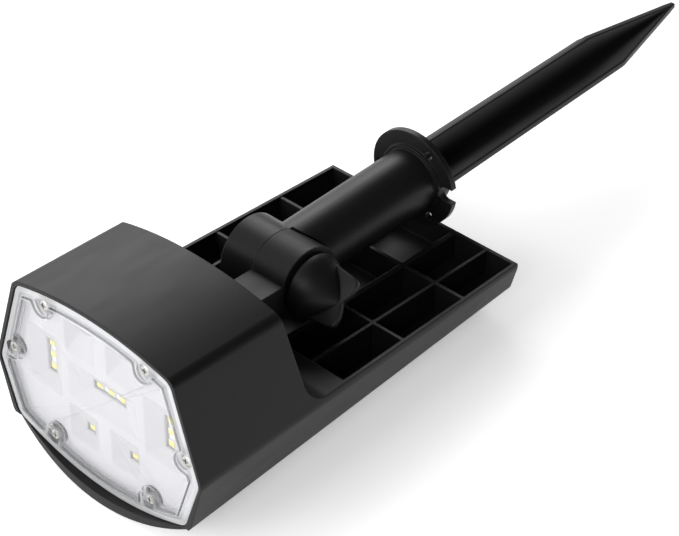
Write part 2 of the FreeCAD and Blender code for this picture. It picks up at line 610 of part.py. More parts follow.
cap = fuse([rod_z(0, BUTTON_Y, BUTTON_SINK, flange_low + 1.0, BUTTON_R),
            rod_z(0, BUTTON_Y, flange_low, flange_low + 1.0, BUTTON_R + 1.4),
            rod_z(0, BUTTON_Y, flange_low + 1.0, plunger_low - 0.02, 2.0)])
save("mode_button", cap)
save("case_screws", Part.makeCompound([
    fuse([rod_z(cx, cy, SEAT_Z + 0.1, CASE_HEAD_Z, SCREW_HEAD_R), rod_z(cx, cy, CASE_HEAD_Z, 14.0, SCREW_R)])
    for cx, cy in case_spots]))

# ================================================================ wires
panel_wires = [lead([(x, 40.0, z3), (x, 40.0, 8.2), (x, 35.0, 8.2), (x, 35.0, BOARD_Z)], CORD_R, CORD_BEND)
               for x in (6.6, 9.4)]
save("panel_leads", Part.makeCompound(panel_wires))
board_top = BOARD_Z + BOARD_THICK
lamp_start = set_down(Part.Vertex(0, board_front + BOARD_THICK + 0.05, 30.0)).Point
lamp_wires = [lead([(x, lamp_start.y, lamp_start.z), (x, 20.5, lamp_start.z), (x, 20.5, board_top)], CORD_R,
                   CORD_BEND) for x in (-3.0, 3.0)]
save("lamp_leads", Part.makeCompound(lamp_wires))
cell_start = set_down(Part.Vertex(plate_x - 0.75, CELL_Y, CELL_Z + 2.55)).Point
battery_wire = lead([(cell_start.x, cell_start.y, cell_start.z), (cell_start.x, cell_start.y, cell_start.z + 4.2),
                     (39.6, cell_start.y, cell_start.z + 4.2), (39.6, cell_start.y, 20.0),
                     (14.0, cell_start.y, 20.0), (14.0, cell_start.y, board_top)], CORD_R, CORD_BEND)
save("battery_leads", Part.makeCompound(both(battery_wire)))


# ================================================================ pole
def tilt_pole(shape):
    """From the pole's own frame (hinge at the origin, pole along +Y) to its folded place."""
    out = shape.copy()
    out.rotate(V(0, 0, 0), X_AXIS, FOLD_ANGLE)
    out.translate(V(0, HINGE_Y, HINGE_Z))
    return out


pole_x0 = SPLIT_X - KNUCKLE_SPLIT
tube = rod_y(0, 0, 0, TUBE_LENGTH - 1.0, TUBE_R)
tube = tube.cut(rod_x(pole_x0, 40, 0, 0, BARREL_R + SEAM))
pole = fuse([tube, rod_x(-BARREL_HALF, pole_x0, 0, 0, BARREL_R),
             rod_y(0, 0, TUBE_LENGTH - FLANGE_THICK - ROOT_RING[1], TUBE_LENGTH - FLANGE_THICK, ROOT_RING[0]),
             rod_y(0, 0, TUBE_LENGTH - FLANGE_THICK, TUBE_LENGTH, FLANGE_R)])
pole = pole.cut(rod_y(0, 0, BARREL_R + 5.0, TUBE_LENGTH + 1, TUBE_BORE))
hole_spots = [polar(FLANGE_HOLE_PCR, a) for a in (60, 180, 300)]
pole = cut(pole, [rod_y(x, z, 60, 90, FLANGE_HOLE_R) for x, z in hole_spots])
notch = fuse([rod_y(NOTCH_DEPTH_R + NOTCH_HALF, 0, 60, 90, NOTCH_HALF),
              box(NOTCH_DEPTH_R + NOTCH_HALF, 40, 60, 90, -NOTCH_HALF, NOTCH_HALF)])
pole = cut(pole, [notch, rod_x(-40, 40, 0, 0, BOLT_R + BOLT_FIT)])


def hex_prism(x0, x1, flats):
    r = flats / 2 / math.cos(math.radians(30))
    pts = [(r * math.cos(math.radians(60 * i)), r * math.sin(math.radians(60 * i))) for i in range(6)]
    return prism_x(pts, x0, x1)


pole = cut(pole, [hex_prism(-40, NUT_X, NUT_FLATS + 0.1), rod_x(-40, NUT_X - NUT_THICK - 0.3, 0, 0, 7.0)])
save_flat("pole", tilt_pole(pole))
nut = hex_prism(NUT_X - NUT_THICK, NUT_X - 0.02, NUT_FLATS).cut(rod_x(-40, 0, 0, 0, BOLT_R + BOLT_FIT))
save_flat("hex_nut", tilt_pole(nut))
plug_cap = fuse([rod_x(-BARREL_HALF - 0.6, -BARREL_HALF + 0.6, 0, 0, 6.9)])
save_flat("nut_cap", tilt_pole(plug_cap))
fin_washer = rod_x(neck_x0 - 0.02, neck_x0 + 0.98, HINGE_Y, HINGE_Z, 9.2).cut(bolt_hole)
save_flat("friction_washer", fin_washer)

# ================================================================ knob
washer = rod_x(BARREL_HALF + 0.02, BARREL_HALF + 1.2, HINGE_Y, HINGE_Z, WASHER_R)
washer = washer.cut(rod_x(0, 60, HINGE_Y, HINGE_Z, BOLT_R + 0.2))
save_flat("knob_washer", washer)
profile = [V(KNOB_X + a, r, 0) for a, r in KNOB_PROFILE]
curve = Part.BSplineCurve()
curve.interpolate(profile[1:])
face = Part.Face(Part.Wire([line(V(KNOB_X, 0, 0), profile[0]), line(profile[0], profile[1]), curve.toShape(),
                            line(profile[-1], V(KNOB_X, 0, 0))]))
boss = face.revolve(V(0, 0, 0), X_AXIS, 360)
wing_pts = [V(KNOB_X + a, r, -WING_THICK / 2) for a, r in WING_PROFILE]
wing_pts += [V(KNOB_X + a, -r, -WING_THICK / 2) for a, r in reversed(WING_PROFILE[:-1])]
wing = Part.Face(Part.makePolygon(wing_pts + [wing_pts[0]])).extrude(V(0, 0, WING_THICK))
flat = [e for e in wing.Edges if e.BoundBox.ZLength < 1e-6 and e.BoundBox.XMax > KNOB_X + 2]
wing = wing.makeFillet(0.8, flat)
knob = fuse([boss, wing]).cut(rod_x(0, KNOB_X + 7.0, 0, 0, BOLT_R))
knob.rotate(V(0, 0, 0), X_AXIS, WING_ANGLE)
knob.translate(V(0, HINGE_Y, HINGE_Z))
save_flat("wing_knob", knob)
stud = rod_x(NUT_X - NUT_THICK - 0.2, KNOB_X + 7.0, HINGE_Y, HINGE_Z, BOLT_R)
save_flat("knob_stud", stud)

# ================================================================ stake
STAKE_START = TUBE_LENGTH + STAKE_GAP


def fin(half_a, half_b, taper):
    """One pair of opposite fins lying in the XY plane, tapered to the point from the given distance."""
    a = STAKE_START + COLLAR_LENGTH - 0.5
    t = FIN_THICK / 2
    pts = [V(-half_a, a, -t), V(-half_b, taper, -t), V(-TIP_HALF, STAKE_TIP, -t), V(TIP_HALF, STAKE_TIP, -t),
           V(half_b, taper, -t), V(half_a, a, -t)]
    return Part.Face(Part.makePolygon(pts + [pts[0]])).extrude(V(0, 0, FIN_THICK))


flat_fin = fin(FIN_HALF, FIN_HALF_END, FLAT_TAPER)
up_fin = fin(FIN_HALF, FIN_HALF_END, UPRIGHT_TAPER)
up_fin.rotate(V(0, 0, 0), V(0, 1, 0), 90)
collar = rod_y(0, 0, STAKE_START, STAKE_START + COLLAR_LENGTH, COLLAR_R)
plug = rod_y(0, 0, STAKE_START - PLUG_LENGTH, STAKE_START, PLUG_R)
plug = plug.cut(rod_y(0, 0, STAKE_START - PLUG_LENGTH - 1, STAKE_START - 3.0, PLUG_R - 2.0))
ring_y = STAKE_START - 8.0
groove = rod_y(0, 0, ring_y - 1.0, ring_y + 1.0, PLUG_R + 1).cut(rod_y(0, 0, ring_y - 2, ring_y + 2, PLUG_R - 0.8))
stake = fuse([flat_fin, up_fin, collar, plug]).cut(groove)
save_flat("ground_stake", tilt_pole(stake))
o_ring = rod_y(0, 0, ring_y - 0.8, ring_y + 0.8, TUBE_BORE - 0.02).cut(
    rod_y(0, 0, ring_y - 2, ring_y + 2, PLUG_R - 0.78))
save_flat("stake_seal", tilt_pole(o_ring))
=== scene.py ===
"""Looks of a folding solar garden spotlight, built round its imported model.

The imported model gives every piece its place. This file dresses the pieces, replaces the ones whose
moulded shape is softer than their plain solid, and sets up the studio.
"""
import logging
import math
from dataclasses import dataclass, field
from enum import Enum
from typing import Dict, List, Optional, Tuple, Union

import bpy
import numpy as np
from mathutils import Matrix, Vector


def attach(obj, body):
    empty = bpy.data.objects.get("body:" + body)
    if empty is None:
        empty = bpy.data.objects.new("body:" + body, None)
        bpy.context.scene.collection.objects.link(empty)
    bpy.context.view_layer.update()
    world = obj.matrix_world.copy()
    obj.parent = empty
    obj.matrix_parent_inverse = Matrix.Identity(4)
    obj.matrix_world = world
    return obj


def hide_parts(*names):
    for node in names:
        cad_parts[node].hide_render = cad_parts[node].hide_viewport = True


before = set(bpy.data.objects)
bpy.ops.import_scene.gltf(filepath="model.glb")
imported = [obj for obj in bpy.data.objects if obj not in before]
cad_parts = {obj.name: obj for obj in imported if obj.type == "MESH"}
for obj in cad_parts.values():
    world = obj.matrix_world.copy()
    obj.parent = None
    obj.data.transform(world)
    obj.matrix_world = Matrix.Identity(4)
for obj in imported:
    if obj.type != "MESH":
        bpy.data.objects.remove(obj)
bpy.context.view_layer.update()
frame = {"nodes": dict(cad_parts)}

LOG = logging.getLogger("spotlight")
Colour = Tuple[float, float, float]
Skin = Tuple[np.ndarray, np.ndarray, np.ndarray]    # points, quads and triangles of one closed surface
MM = 0.001
FULL_TURN = 2.0 * math.pi
PAINTED_EDGE_LIGHT = "painted_edge_light"                                # painted edge light on clear plastic, 0 to 1: up to about 0.6 whitish painted reflection, towards 1 grey painted refraction shade where an edge stands on end
WAVE_PERIOD = 0.314159                              # length of one band of the wave texture at scale 1
SHARP_EDGE = 38.0                                   # degrees by which neighbouring faces turn at a sharp edge
CRISP_EDGE = 40.0                                   # the same for the stake and the knob
ROUND_STEPS = 96                                    # points round a turned surface
FIN_BITE = 0.5                                      # millimetres by which the fins sink into the collar


class Socket(Enum):
    """Named sockets of the standard surface shader."""

    COLOUR = "Base Color"
    ROUGHNESS = "Roughness"
    METALLIC = "Metallic"
    NORMAL = "Normal"
    IOR = "IOR"
    SPECULAR = "Specular IOR Level"
    ALPHA = "Alpha"
    GLOW_COLOUR = "Emission Color"
    GLOW = "Emission Strength"


class NodeSheet:
    """A material's node tree with short calls for the nodes that the finishes share."""

    def __init__(self, name: str) -> None:
        """Starts a material with one surface shader and object coordinates.

        Args:
            name: the material's name.
        """
        self.material = bpy.data.materials.new(name)
        self.material.use_nodes = True
        self.tree = self.material.node_tree
        self.shader = self.tree.nodes["Principled BSDF"]
        self.coords = self.add("ShaderNodeTexCoord").outputs["Object"]

    def add(self, kind: str, **settings: object) -> bpy.types.Node:
        """Adds a node and sets its properties.

        Args:
            kind: the node's type name.
            settings: property names and values.

        Returns:
            The new node.
        """
        node = self.tree.nodes.new(kind)
        for key, value in settings.items():
            setattr(node, key, value)
        return node

    def link(self, source: bpy.types.NodeSocket, target: bpy.types.NodeSocket) -> None:
        """Joins two sockets.

        Args:
            source: an output socket.
            target: an input socket.
        """
        self.tree.links.new(source, target)

    def drive(self, socket: Socket, source: bpy.types.NodeSocket) -> None:
        """Feeds a pattern into the surface shader.

        Args:
            socket: the shader's socket.
            source: the pattern's output.
        """
        self.link(source, self.shader.inputs[socket.value])

    def fix(self, socket: Socket, value: Union[float, Tuple[float, ...]]) -> None:
        """Sets a constant on the surface shader's own socket.

        Args:
            socket: the socket.
            value: its number or colour.
        """
        self.shader.inputs[socket.value].default_value = value

    def stretched(self, scale: Tuple[float, float, float]) -> bpy.types.NodeSocket:
        """Stretches the object coordinates.

        Args:
            scale: factor on each axis.

        Returns:
            The stretched coordinates.
        """
        mapping = self.add("ShaderNodeMapping")
        mapping.inputs["Scale"].default_value = scale
        self.link(self.coords, mapping.inputs["Vector"])
        return mapping.outputs["Vector"]

    def noise(self, scale: float, detail: float = 2.0,
              vector: Optional[bpy.types.NodeSocket] = None) -> bpy.types.NodeSocket:
        """Adds a noise pattern.

        Args:
            scale: features per metre.
            detail: octaves of finer noise.
            vector: coordinates, or None for plain object coordinates.

        Returns:
            The pattern's value, about 0 to 1.
        """
        node = self.add("ShaderNodeTexNoise")
        node.inputs["Scale"].default_value = scale
        node.inputs["Detail"].default_value = detail
        self.link(vector or self.coords, node.inputs["Vector"])
        return node.outputs["Fac"]

    def ramp(self, value: bpy.types.NodeSocket, low: float, high: float,
             start: float, end: float) -> bpy.types.NodeSocket:
        """Maps a value's range to another range, held at its ends.

        Args:
            value: the pattern.
            low: value that becomes start.
            high: value that becomes end.
            start: result at low.
            end: result at high.

        Returns:
            The mapped value.
        """
        node = self.add("ShaderNodeMapRange")
        for name, number in (("From Min", low), ("From Max", high), ("To Min", start), ("To Max", end)):
            node.inputs[name].default_value = number
        self.link(value, node.inputs["Value"])
        return node.outputs["Result"]

    def tint(self, value: bpy.types.NodeSocket, dark: Colour, light: Colour) -> None:
        """Colours the surface between two colours.

        Args:
            value: share of the second colour, 0 to 1.
            dark: colour at 0.
            light: colour at 1.
        """
        node = self.add("ShaderNodeMix", data_type="RGBA")
        node.inputs["A"].default_value = (*dark, 1.0)
        node.inputs["B"].default_value = (*light, 1.0)
        self.link(value, node.inputs["Factor"])
        self.drive(Socket.COLOUR, node.outputs["Result"])

    def bump(self, height: bpy.types.NodeSocket, depth: float, strength: float, edge: float = 0.0) -> None:
        """Raises the surface by a height pattern.

        Args:
            height: the pattern.
            depth: its depth in metres.
            strength: its share, 0 to 1.
            edge: radius in metres by which sharp edges look broken, or 0 for none.
        """
        node = self.add("ShaderNodeBump")
        if edge > 0.0:
            soft = self.add("ShaderNodeBevel", samples=6)
            soft.inputs["Radius"].default_value = edge
            self.link(soft.outputs["Normal"], node.inputs["Normal"])
        node.inputs["Distance"].default_value = depth
        node.inputs["Strength"].default_value = strength
        self.link(height, node.inputs["Height"])
        self.drive(Socket.NORMAL, node.outputs["Normal"])


@dataclass(frozen=True)
class MouldedPlastic:
    """Injection-moulded plastic: fine spark-eroded grain, soft cloudiness and faint handling marks."""

    name: str
    colour: Colour
    roughness: float = 0.42
    grain: float = 0.35
    grain_scale: float = 2600.0
    cloud: float = 0.25
    specular: float = 0.5
    edge: float = 0.0006

    def make(self) -> bpy.types.Material:
        """Makes the material.

        Returns:
            The finished material.
        """
        sheet = NodeSheet(self.name)
        cloud = sheet.noise(28.0, 3.0)
        light = tuple(c * (1.0 + self.cloud) for c in self.colour)
        dark = tuple(c * (1.0 - self.cloud) for c in self.colour)
        sheet.tint(cloud, dark, light)
        marks = sheet.noise(160.0, 4.0, sheet.stretched((1.0, 0.25, 1.0)))
        rough = sheet.ramp(marks, 0.3, 0.7, self.roughness - 0.02, self.roughness + 0.03)
        sheet.drive(Socket.ROUGHNESS, rough)
        sheet.bump(sheet.noise(self.grain_scale, 2.0), 0.00006, self.grain, self.edge)
        sheet.fix(Socket.SPECULAR, self.specular)
        return sheet.material


@dataclass(frozen=True)
class ClearPlastic:
    """Polished clear polycarbonate, thin enough to see through, with painted light where its edges stand on
    end: whitish painted reflection, then grey painted refraction shade.
    """

    name: str
    colour: Colour = (0.62, 0.625, 0.64)
    alpha: float = 0.1
    roughness: float = 0.06
    # colour of the grey painted refraction shade where edges stand on end
    painted_edge_shade: Colour = (0.12, 0.125, 0.13)
    edge_alpha: float = 0.6
    # painted edge light at which the whitish painted reflection is full and past which the grey painted shade
    # begins
    painted_sheen_level: float = 0.6
    index: float = 1.58

    def make(self) -> bpy.types.Material:
        """Makes the material: cover rises with the painted edge light up to the level of full whitish painted
        reflection, and past it the colour turns to grey painted refraction shade.

        Returns:
            The finished material.
        """
        sheet = NodeSheet(self.name)
        layer = sheet.add("ShaderNodeAttribute", attribute_type="GEOMETRY", attribute_name=PAINTED_EDGE_LIGHT)
        painted_light = layer.outputs["Fac"]
        # painted light: grey painted refraction shade past the whitish level, and below it the cover of the
        # whitish painted reflection rises
        sheet.tint(sheet.ramp(painted_light, self.painted_sheen_level, 1.0, 0.0, 1.0), self.colour, self.painted_edge_shade)
        sheet.drive(Socket.ALPHA, sheet.ramp(painted_light, 0.0, self.painted_sheen_level, self.alpha, self.edge_alpha))
        rough = sheet.ramp(sheet.noise(220.0, 3.0), 0.35, 0.75, self.roughness, self.roughness + 0.05)
        sheet.drive(Socket.ROUGHNESS, rough)
        sheet.fix(Socket.IOR, self.index)
        sheet.bump(sheet.noise(60.0, 2.0), 0.0002, 0.08)
        return sheet.material


@dataclass(frozen=True)
class PlatedSteel:
    """Bright plated steel with fine turning lines and slightly dulled patches."""

    name: str
    colour: Colour = (0.62, 0.61, 0.58)
    roughness: float = 0.28

    def make(self) -> bpy.types.Material:
        """Makes the material.

        Returns:
            The finished material.
        """
        sheet = NodeSheet(self.name)
        patch = sheet.noise(300.0, 3.0)
        sheet.tint(patch, tuple(c * 0.8 for c in self.colour), self.colour)
        rough = sheet.ramp(sheet.noise(1500.0, 2.0, sheet.stretched((1.0, 0.1, 1.0))), 0.3, 0.7,
                           self.roughness - 0.08, self.roughness + 0.12)
        sheet.drive(Socket.ROUGHNESS, rough)
        sheet.fix(Socket.METALLIC, 1.0)
        sheet.bump(patch, 0.00003, 0.2)
        return sheet.material


@dataclass(frozen=True)
class SolarSilicon:
    """Dark blue cut cells with thin silver collector lines across each strip."""

    name: str
    colour: Colour = (0.006, 0.011, 0.038)
    line_pitch: float = 0.0021
    line_colour: Colour = (0.14, 0.15, 0.17)

    def make(self) -> bpy.types.Material:
        """Makes the material: lines are bright where a wave along X nears its crest.

        Returns:
            The finished material.
        """
        sheet = NodeSheet(self.name)
        wave = sheet.add("ShaderNodeTexWave", wave_type="BANDS", bands_direction="X")
        wave.inputs["Scale"].default_value = WAVE_PERIOD / self.line_pitch
        sheet.link(sheet.coords, wave.inputs["Vector"])
        lines = sheet.ramp(wave.outputs["Fac"], 0.95, 0.99, 0.0, 1.0)
        sheet.tint(lines, self.colour, self.line_colour)
        rough = sheet.ramp(sheet.noise(90.0, 3.0), 0.3, 0.7, 0.25, 0.4)
        sheet.drive(Socket.ROUGHNESS, rough)
        return sheet.material


@dataclass(frozen=True)
class Finishes:
    """Every finish on the spotlight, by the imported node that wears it."""

    shell: MouldedPlastic = MouldedPlastic("shell_plastic", (0.0066, 0.0061, 0.0063),
                                           0.43, 0.22, specular=0.24)
    pole: MouldedPlastic = MouldedPlastic("pole_plastic", (0.0066, 0.0061, 0.0063),
                                          0.38, 0.12, 1800.0, specular=0.24)
    knob: MouldedPlastic = MouldedPlastic("knob_plastic", (0.0066, 0.0061, 0.0063),
                                          0.42, 0.2, specular=0.24)
    white: MouldedPlastic = MouldedPlastic("white_plastic", (0.57, 0.565, 0.59),
                                           0.42, 0.1, 1200.0, 0.02, specular=0.3, edge=0.0016)
    lamp_board: MouldedPlastic = MouldedPlastic("lamp_board_mask", (0.85, 0.86, 0.87),
                                                0.4, 0.1, 900.0, 0.03)
    chip: MouldedPlastic = MouldedPlastic("lamp_chip_ceramic", (0.9, 0.88, 0.78),
                                          0.4, 0.1, 3000.0, 0.03)
    phosphor: MouldedPlastic = MouldedPlastic("lamp_phosphor", (0.86, 0.78, 0.22),
                                              0.35, 0.15, 4000.0, 0.08)
    board: MouldedPlastic = MouldedPlastic("circuit_board_mask", (0.02, 0.16, 0.06),
                                           0.35, 0.3, 700.0, 0.2)
    component: MouldedPlastic = MouldedPlastic("component_black", (0.03, 0.03, 0.03), 0.5, 0.2)
    backing: MouldedPlastic = MouldedPlastic("panel_fibre", (0.7, 0.7, 0.67), 0.6, 0.4, 900.0, 0.08)
    wrap: MouldedPlastic = MouldedPlastic("cell_wrap", (0.05, 0.2, 0.5), 0.3, 0.1, 500.0, 0.1)
    rubber: MouldedPlastic = MouldedPlastic("seal_rubber", (0.02, 0.02, 0.02), 0.75, 0.5, 1500.0)
    adhesive: MouldedPlastic = MouldedPlastic("panel_glue", (0.6, 0.6, 0.55), 0.7, 0.4, 700.0)
    red_wire: MouldedPlastic = MouldedPlastic("red_wire", (0.45, 0.02, 0.02), 0.45, 0.2, 1500.0)
    white_wire: MouldedPlastic = MouldedPlastic("white_wire", (0.7, 0.7, 0.7), 0.45, 0.2, 1500.0)
    steel: PlatedSteel = PlatedSteel("plated_steel")
    lens: ClearPlastic = ClearPlastic("clear_lens")
    resin: ClearPlastic = ClearPlastic("panel_resin", (0.6, 0.66, 0.75), 0.12, 0.04)
    silicon: SolarSilicon = SolarSilicon("solar_silicon")

    def by_node(self) -> Dict[str, object]:
        """Lists the finishes.

        Returns:
            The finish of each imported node.
        """
        return {
            "back_shell": self.shell, "panel_housing": self.shell, "pole": self.pole,
            "nut_cap": self.pole, "ground_stake": self.pole, "wing_knob": self.knob,
            "mode_button": self.knob, "lens_cover": self.lens, "lens_gasket": self.rubber,
            "lens_screws": self.steel, "reflector": self.white, "led_board": self.lamp_board,
            "led_chips": self.chip, "led_phosphor": self.phosphor, "board_clips": self.steel,
            "battery_cell": self.wrap, "battery_holder": self.component, "battery_contacts": self.steel,
            "control_board": self.board, "board_parts": self.component, "board_screws": self.steel,
            "tact_switch": self.component, "switch_plunger": self.white, "case_screws": self.steel,
            "panel_leads": self.red_wire, "battery_leads": self.red_wire, "lamp_leads": self.white_wire,
            "panel_resin": self.resin, "solar_cells": self.silicon, "panel_backing": self.backing,
            "panel_adhesive": self.adhesive, "friction_washer": self.rubber, "hex_nut": self.steel,
            "knob_stud": self.steel, "knob_washer": self.steel, "stake_seal": self.rubber,
        }


def dress(finishes: Finishes) -> Dict[str, bpy.types.Material]:
    """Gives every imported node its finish.

    Args:
        finishes: the spotlight's finishes.

    Returns:
        The made materials by name.
    """
    made: Dict[str, bpy.types.Material] = {}
    for node, finish in finishes.by_node().items():
        if finish.name not in made:
            made[finish.name] = finish.make()
        mesh = frame["nodes"][node].data
        mesh.materials.clear()
        mesh.materials.append(made[finish.name])
        LOG.info("dressed %s in %s", node, finish.name)
    return made


@dataclass(frozen=True)
class HeadFrame:
    """The lamp head's own frame in millimetres: lens plane at y = 0, facing -Y, tray rim level."""

    panel_slope: float = 4.1
    middle: float = 172.2

    def to_rest(self, points: np.ndarray) -> np.ndarray:
        """Tips points by the panel's slope onto the panel frame.

        Args:
            points: positions in the head's frame, in millimetres.

        Returns:
            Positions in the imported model's frame, in metres.
        """
        c, s = math.cos(math.radians(self.panel_slope)), math.sin(math.radians(self.panel_slope))
        x, y, z = points[..., 0], points[..., 1], points[..., 2]
        return np.stack([x, y * c + z * s - self.middle, z * c - y * s], axis=-1) * MM


@dataclass(frozen=True)
class PoleFrame:
    """The pole's own frame in millimetres: hinge at the origin, pole along +Y, folded by a small angle."""

    hinge: Tuple[float, float] = (94.2, 57.0)
    fold: float = 3.2
    head: HeadFrame = HeadFrame()

    def to_rest(self, points: np.ndarray, fold: Optional[float] = None) -> np.ndarray:
        """Turns points about the hinge by the fold angle, then places them with the head.

        Args:
            points: positions in the pole's frame, in millimetres.
            fold: another angle than the pole's, for parts that stay square to the head.

        Returns:
            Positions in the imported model's frame, in metres.
        """
        angle = math.radians(self.fold if fold is None else fold)
        c, s = math.cos(angle), math.sin(angle)
        x, y, z = points[..., 0], points[..., 1], points[..., 2]
        turned = np.stack([x, y * c - z * s + self.hinge[0], y * s + z * c + self.hinge[1]], axis=-1)
        return self.head.to_rest(turned)


def ring_faces(rows: int, columns: int) -> np.ndarray:
    """Quads between neighbouring rows of points, each row closed on itself.

    Args:
        rows: number of rows.
        columns: points in each row.

    Returns:
        Four point numbers for each quad.
    """
    row, column = np.meshgrid(np.arange(rows - 1), np.arange(columns), indexing="ij")
    a = row * columns + column
    b = row * columns + (column + 1) % columns
    return np.stack([a, b, b + columns, a + columns], axis=-1).reshape(-1, 4)


def fan_faces(centre: int, start: int, columns: int) -> np.ndarray:
    """Triangles from a centre point to one closed row.

    Args:
        centre: the centre point's number.
        start: the row's first point.
        columns: points in the row.

    Returns:
        Three point numbers for each triangle.
    """
    column = np.arange(columns)
    return np.stack([np.full(columns, centre), start + (column + 1) % columns, start + column], axis=-1)


def signed_volume(points: np.ndarray, quads: np.ndarray, tris: np.ndarray) -> float:
    """Volume inside the faces: a sixth of the sum of their corners' triple products.

    Args:
        points: positions.
        quads: four-cornered faces.
        tris: three-cornered faces.

    Returns:
        The volume, negative where the faces look inward.
    """
    three = np.concatenate([quads[:, [0, 1, 2]], quads[:, [0, 2, 3]], tris])
    a, b, c = (points[three[:, i]] for i in range(3))
    return float(np.einsum("ij,ij->i", a, np.cross(b, c)).sum() / 6.0)


def build_mesh(name: str, points: np.ndarray, quads: np.ndarray, tris: np.ndarray,
               sharp: float = SHARP_EDGE) -> bpy.types.Mesh:
    """Makes a smooth-shaded mesh whose faces look outward.

    Args:
        name: the mesh's name.
        points: positions in metres.
        quads: four-cornered faces.
        tris: three-cornered faces.
        sharp: edges that turn by more than this many degrees stay sharp.

    Returns:
        The new mesh.
    """
    if signed_volume(points, quads, tris) < 0.0:
        quads, tris = quads[:, ::-1], tris[:, ::-1]
    corners = np.concatenate([quads.ravel(), tris.ravel()]).astype(np.int32)
    sizes = np.concatenate([np.full(len(quads), 4), np.full(len(tris), 3)])
    mesh = bpy.data.meshes.new(name)
    mesh.vertices.add(len(points))
    mesh.vertices.foreach_set("co", points.astype(np.float32).ravel())
    mesh.loops.add(len(corners))
    mesh.loops.foreach_set("vertex_index", corners)
    mesh.polygons.add(len(sizes))
    mesh.polygons.foreach_set("loop_start", (np.cumsum(sizes) - sizes).astype(np.int32))
    mesh.polygons.foreach_set("use_smooth", np.ones(len(sizes), dtype=bool))
    mesh.update(calc_edges=True)
    mesh.validate()
    mesh.set_sharp_from_angle(angle=math.radians(sharp))
    return mesh


def closed_tube(rows: np.ndarray, first: np.ndarray, last: np.ndarray) -> Skin:
    """Joins closed rows of points into one solid skin with a centre point at each end.

    Args:
        rows: positions, row by row, each row running once round.
        first: centre point before the first row.
        last: centre point after the last row.

    Returns:
        Points, quads and triangles.
    """
    count, columns = rows.shape[:2]
    points = np.concatenate([rows.reshape(-1, 3), first[None], last[None]])
    end = count * columns
    tris = np.concatenate([fan_faces(end, 0, columns), fan_faces(end + 1, end - columns, columns)[:, ::-1]])
    return points, ring_faces(count, columns), tris


def add_piece(name: str, mesh: bpy.types.Mesh, material: bpy.types.Material) -> bpy.types.Object:
    """Shows a mesh as an object at the origin with one material.

    Args:
        name: the object's name.
        mesh: its mesh, in place.
        material: its finish.

    Returns:
        The new object.
    """
    mesh.materials.append(material)
    obj = bpy.data.objects.new(name, mesh)
    bpy.context.scene.collection.objects.link(obj)
    return obj


@dataclass(frozen=True)
class LensOutline:
    """Outline of the lens: crowned top, straight sides meeting in a blunt corner, round bottom."""

    centre_z: float = 43.0
    top: Tuple[float, float, float] = (41.0, 77.0, 82.6)
    side: Tuple[float, float] = (54.1, 37.6)
    bottom: Tuple[float, float, float] = (46.0, 14.0, 4.3)
    corner: float = 5.0
    steps: int = 720
    rays: int = 7200

    def _line_reach(self, a: Tuple[float, float], b: Tuple[float, float], ray: np.ndarray) -> np.ndarray:
        """Distance from the centre to a side moved inward by the corner radius: gap over the ray's lean.

        Args:
            a: the side's start.
            b: the side's end.
            ray: unit directions from the centre.

        Returns:
            The distance along each ray, endless where it never meets the side.
        """
        along = np.array(b) - np.array(a)
        normal = np.array([along[1], -along[0]]) / np.hypot(*along)
        gap = float(np.dot(normal, np.array(a) - np.array([0.0, self.centre_z])))
        normal, gap = (normal, gap) if gap > 0.0 else (-normal, -gap)
        lean = ray @ normal
        return np.where(lean > 1e-6, (gap - self.corner) / np.maximum(lean, 1e-6), np.inf)

    def _arc_reach(self, half: float, low: float, crest: float, ray: np.ndarray) -> np.ndarray:
        """Distance from the centre to a crowned edge moved inward: the root of the circle's equation.

        Args:
            half: half the arc's chord.
            low: height of the chord.
            crest: height of the arc's middle.
            ray: unit directions from the centre.

        Returns:
            The distance along each ray.
        """
        rise = abs(crest - low)
        radius = (rise * rise + half * half) / (2.0 * rise)
        middle = crest - radius if crest > low else crest + radius
        offset = self.centre_z - middle
        facing = ray[:, 1] * offset
        return -facing + np.sqrt(facing ** 2 + (radius - self.corner) ** 2 - offset ** 2)

    def path(self) -> Tuple[np.ndarray, np.ndarray]:
        """The outline as the inner core rolled outward by a disc of the corner radius.

        Returns:
            Points (x, z) at equal steps, starting at the bottom, and their inward unit normals.
        """
        angle = np.linspace(-0.5 * math.pi, 1.5 * math.pi, self.rays + 1)[:-1]
        ray = np.stack([np.cos(angle), np.sin(angle)], axis=-1)
        (th, tz, tc), (sx, sz), (bh, bz, bc) = self.top, self.side, self.bottom
        reaches = [self._line_reach((g * bh, bz), (g * sx, sz), ray) for g in (1, -1)]
        reaches += [self._line_reach((g * sx, sz), (g * th, tz), ray) for g in (1, -1)]
        reaches += [self._arc_reach(th, tz, tc, ray), self._arc_reach(bh, bz, bc, ray)]
        core = ray * np.min(reaches, axis=0)[:, None] + np.array([0.0, self.centre_z])
        facing = ray[::4]
        rolled = core[np.argmax(core @ facing.T, axis=0)] + facing * self.corner
        both = np.concatenate([rolled, rolled[:1]])
        length = np.concatenate([[0.0], np.cumsum(np.hypot(*np.diff(both, axis=0).T))])
        at = np.linspace(0.0, length[-1], self.steps + 1)[:-1]
        points = np.stack([np.interp(at, length, both[:, i]) for i in range(2)], axis=-1)
        step = np.roll(points, -1, axis=0) - np.roll(points, 1, axis=0)
        inward = np.stack([-step[:, 1], step[:, 0]], axis=-1) / np.hypot(*step.T)[:, None]
        return points, inward


